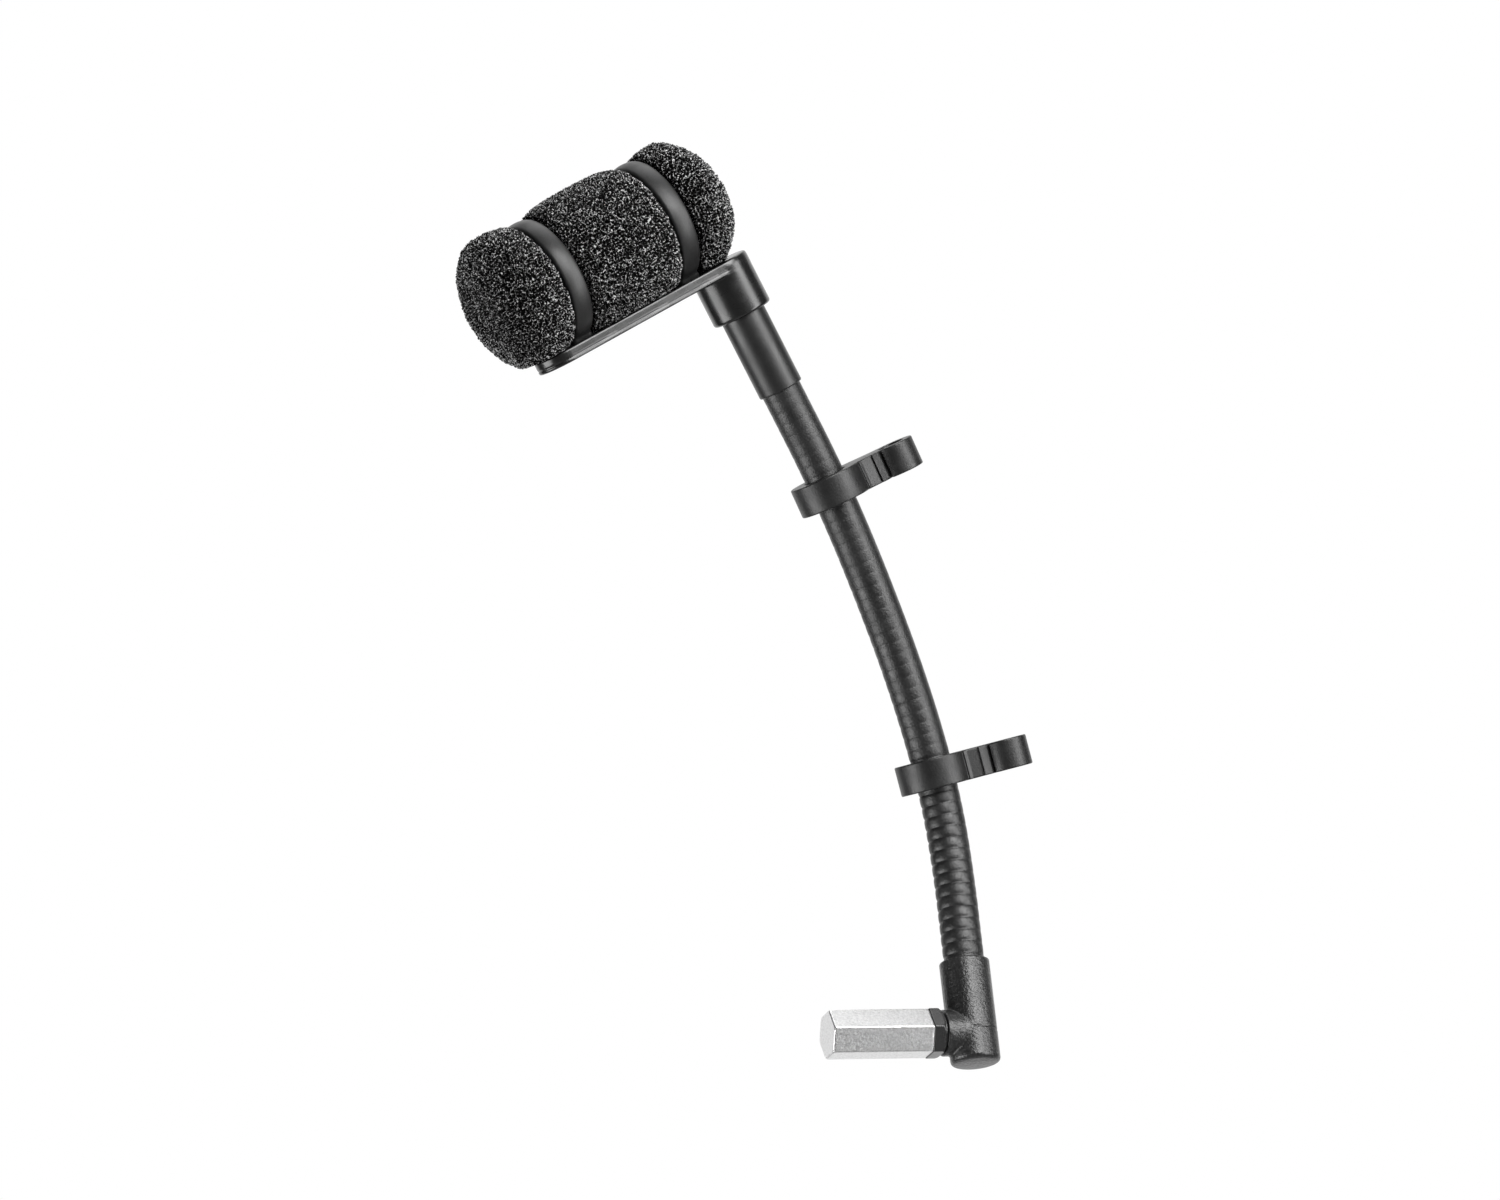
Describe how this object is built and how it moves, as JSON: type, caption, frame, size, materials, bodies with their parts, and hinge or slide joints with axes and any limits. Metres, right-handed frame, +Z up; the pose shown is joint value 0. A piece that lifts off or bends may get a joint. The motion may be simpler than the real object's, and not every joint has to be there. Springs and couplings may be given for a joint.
{
  "type": "gooseneck instrument microphone",
  "caption": "Short bendable gooseneck arm on a hexagonal spigot, with snap clips for the cable and a turning carrier whose hoops hold a foam-wrapped microphone.",
  "frame": {"origin": "centre of the hexagonal spigot's end face, the end that goes into a clamp", "axes": "+X along the spigot towards the elbow, +Z up the elbow into the neck; the neck leans towards -X and a little towards -Y, the side that the cable clips open to"},
  "size_m": [0.0937, 0.0423, 0.1445],
  "materials": {
    "spigot_aluminium": "satin",
    "collar_black": "satin",
    "elbow_black": "matte",
    "neck_sheath": "matte",
    "coil_steel": "satin",
    "ferrule_steel": "satin",
    "clip_black": "satin",
    "sleeve_black": "satin",
    "seal_rubber": "matte",
    "screw_steel": "satin",
    "carrier_black": "satin",
    "hoop_black": "satin",
    "foam": "matte",
    "mic_black": "satin",
    "mesh_steel": "satin",
    "capsule_brass": "satin",
    "diaphragm_film": "gloss",
    "insulator": "matte",
    "backplate_metal": "satin",
    "board": "gloss",
    "chip": "matte",
    "pins_brass": "polished"
  },
  "bodies": {
    "base": {"hex_spigot": "spigot_aluminium", "hex_collar": "collar_black", "elbow_body": "elbow_black", "lower_ferrule": "ferrule_steel", "neck_sheath_1": "neck_sheath", "neck_coil_1": "coil_steel"},
    "link_2": {"neck_sheath_2": "neck_sheath", "neck_coil_2": "coil_steel"},
    "link_3": {"neck_sheath_3": "neck_sheath", "neck_coil_3": "coil_steel"},
    "link_4": {"neck_sheath_4": "neck_sheath", "neck_coil_4": "coil_steel"},
    "link_5": {"neck_sheath_5": "neck_sheath", "neck_coil_5": "coil_steel"},
    "link_6": {"neck_sheath_6": "neck_sheath", "neck_coil_6": "coil_steel"},
    "link_7": {"neck_sheath_7": "neck_sheath", "neck_coil_7": "coil_steel"},
    "link_8": {"neck_sheath_8": "neck_sheath", "neck_coil_8": "coil_steel", "upper_ferrule": "ferrule_steel", "neck_sleeve": "sleeve_black", "friction_ring": "seal_rubber", "swivel_screw": "screw_steel"},
    "lower_clip": {"lower_clip": "clip_black"},
    "upper_clip": {"upper_clip": "clip_black"},
    "carrier": {"carrier_plate": "carrier_black", "rear_hoop": "hoop_black", "front_hoop": "hoop_black", "foam_barrel": "foam", "mic_housing": "mic_black", "mic_grille": "mic_black", "grille_mesh": "mesh_steel", "mic_rear_cap": "mic_black", "rear_seal": "seal_rubber", "capsule_can": "capsule_brass", "diaphragm_ring": "capsule_brass", "diaphragm": "diaphragm_film", "spacer_ring": "insulator", "backplate": "backplate_metal", "capsule_insulator": "insulator", "circuit_board": "board", "fet_chip": "chip", "signal_pins": "pins_brass"}
  },
  "joints": [
    {"name": "neck_bend_1", "type": "hinge", "parent": "base", "child": "link_2", "pos_m": [0.0243, 0, 0.0261], "axis": [0.6947, -0.7193, 0], "range_deg": [-31.4, 18.6]},
    {"name": "neck_bend_2", "type": "hinge", "parent": "link_2", "child": "link_3", "pos_m": [0.02337, -0.0009, 0.03767], "axis": [0.7013, 0.6773, 0.2224], "range_deg": [-21, 21]},
    {"name": "neck_bend_3", "type": "hinge", "parent": "link_3", "child": "link_4", "pos_m": [0.0206, -0.00357, 0.04865], "axis": [0.1813, -0.9651, -0.1891], "range_deg": [-28.7, 21.3]},
    {"name": "neck_bend_4", "type": "hinge", "parent": "link_4", "child": "link_5", "pos_m": [0.01712, -0.00634, 0.05941], "axis": [0.9288, 0.1048, 0.3555], "range_deg": [-24, 24]},
    {"name": "neck_bend_5", "type": "hinge", "parent": "link_5", "child": "link_6", "pos_m": [0.01308, -0.00916, 0.06996], "axis": [0.1813, -0.9651, -0.1891], "range_deg": [-26.8, 23.2]},
    {"name": "neck_bend_6", "type": "hinge", "parent": "link_6", "child": "link_7", "pos_m": [0.0087, -0.01202, 0.08035], "axis": [0.8992, 0.0848, 0.4293], "range_deg": [-24, 24]},
    {"name": "neck_bend_7", "type": "hinge", "parent": "link_7", "child": "link_8", "pos_m": [0.00381, -0.01493, 0.09051], "axis": [0.1813, -0.9651, -0.1891], "range_deg": [-28, 22]},
    {"name": "lower_clip_turn", "type": "hinge", "parent": "link_3", "child": "lower_clip", "pos_m": [0.02214, -0.00209, 0.04254], "axis": [-0.2378, -0.2296, 0.9438], "continuous": true},
    {"name": "upper_clip_turn", "type": "hinge", "parent": "link_7", "child": "upper_clip", "pos_m": [0.00584, -0.01372, 0.08629], "axis": [-0.4201, -0.2499, 0.8724], "continuous": true},
    {"name": "carrier_turn", "type": "hinge", "parent": "link_8", "child": "carrier", "pos_m": [-0.00848, -0.02162, 0.11285], "axis": [-0.4661, -0.2536, 0.8476], "range_deg": [-170, 170]}
  ]
}
